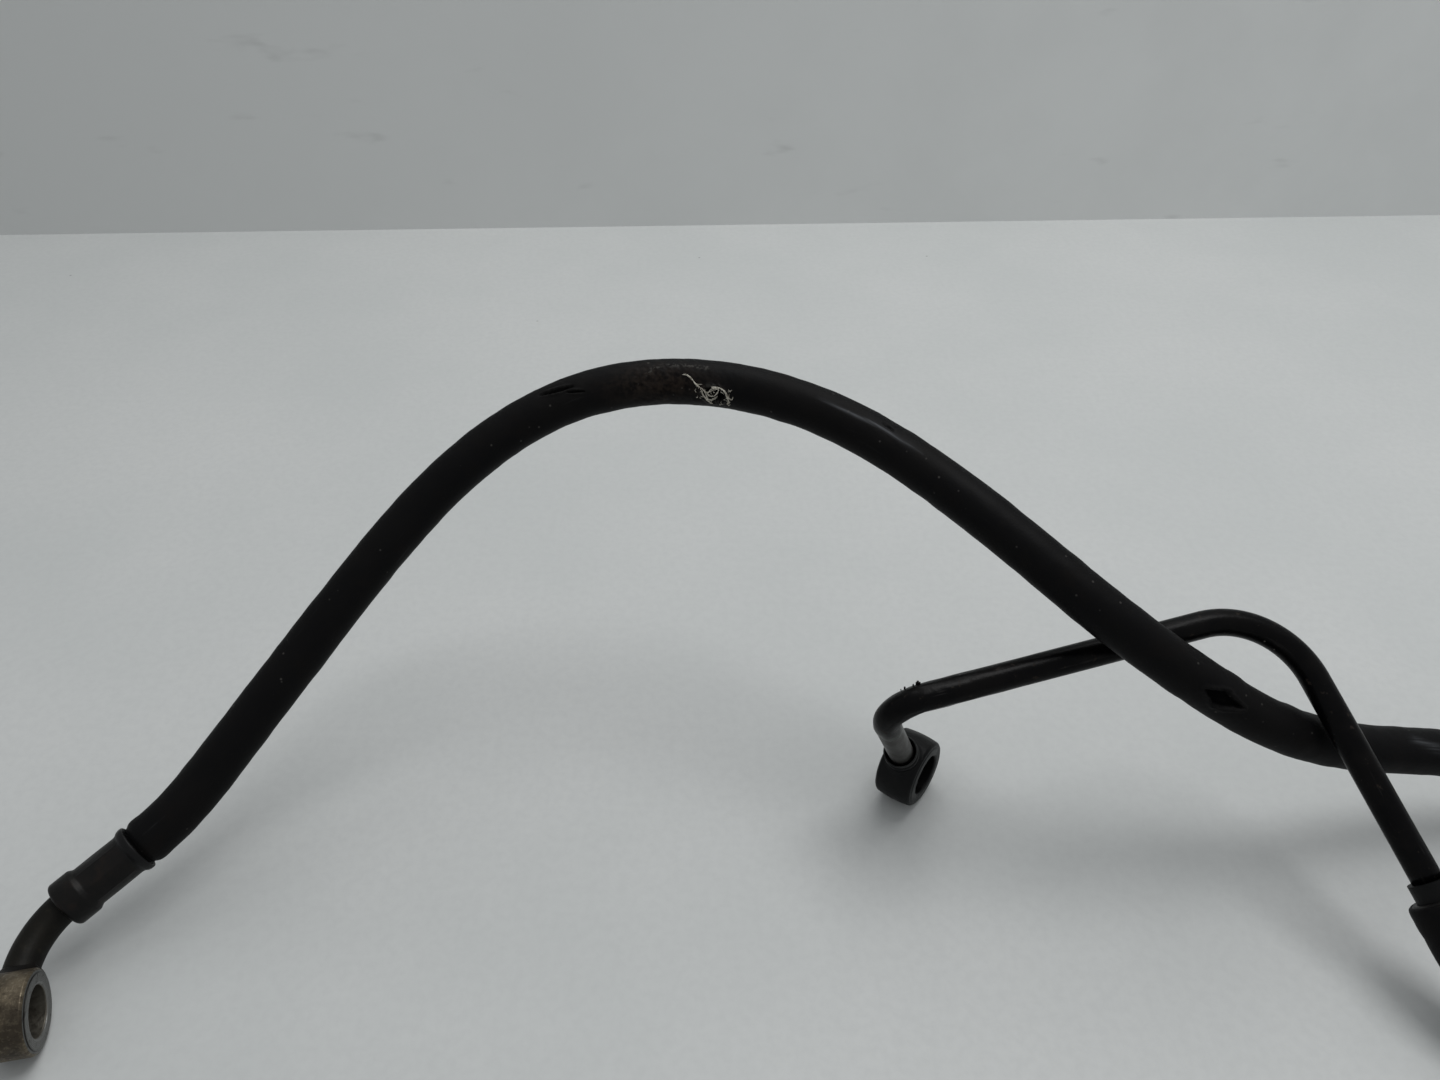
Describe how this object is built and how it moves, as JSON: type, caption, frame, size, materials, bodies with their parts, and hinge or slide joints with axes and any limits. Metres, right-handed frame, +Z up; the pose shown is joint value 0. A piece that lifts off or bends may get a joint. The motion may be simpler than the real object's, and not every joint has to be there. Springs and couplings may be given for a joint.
{
  "type": "brake line",
  "caption": "Brake line: sleeved flexible hose crimped to a short bent neck with a banjo eye at one end, and to a bent steel pipe with a banjo eye at the other.",
  "frame": {"origin": "on the ground, in the middle of the line's footprint as it lies", "axes": "+Z up; +X to the right along the longest side as pictured; -Y towards the viewer"},
  "size_m": [0.4022, 0.169, 0.0955],
  "materials": {
    "tarnished_steel": "satin",
    "neck_steel": "satin",
    "ferrule_dark": "satin",
    "insert_steel": "satin",
    "black_paint": "satin",
    "pipe_steel": "satin",
    "pipe_coating": "semi-gloss",
    "sleeve_rubber": "matte",
    "hose_rubber": "matte",
    "braid_fibre": "matte"
  },
  "bodies": {
    "root": {"left_banjo_eye": "tarnished_steel", "left_neck_pipe": "neck_steel", "left_hose_insert": "insert_steel", "left_crimp_ferrule": "ferrule_dark", "hose_liner": "hose_rubber", "hose_braid": "braid_fibre", "hose_cover": "hose_rubber", "protective_sleeve": "sleeve_rubber", "right_crimp_ferrule": "ferrule_dark", "right_hose_insert": "black_paint", "hard_pipe": "pipe_steel", "pipe_coating": "pipe_coating", "right_banjo_eye": "black_paint"}
  },
  "joints": []
}
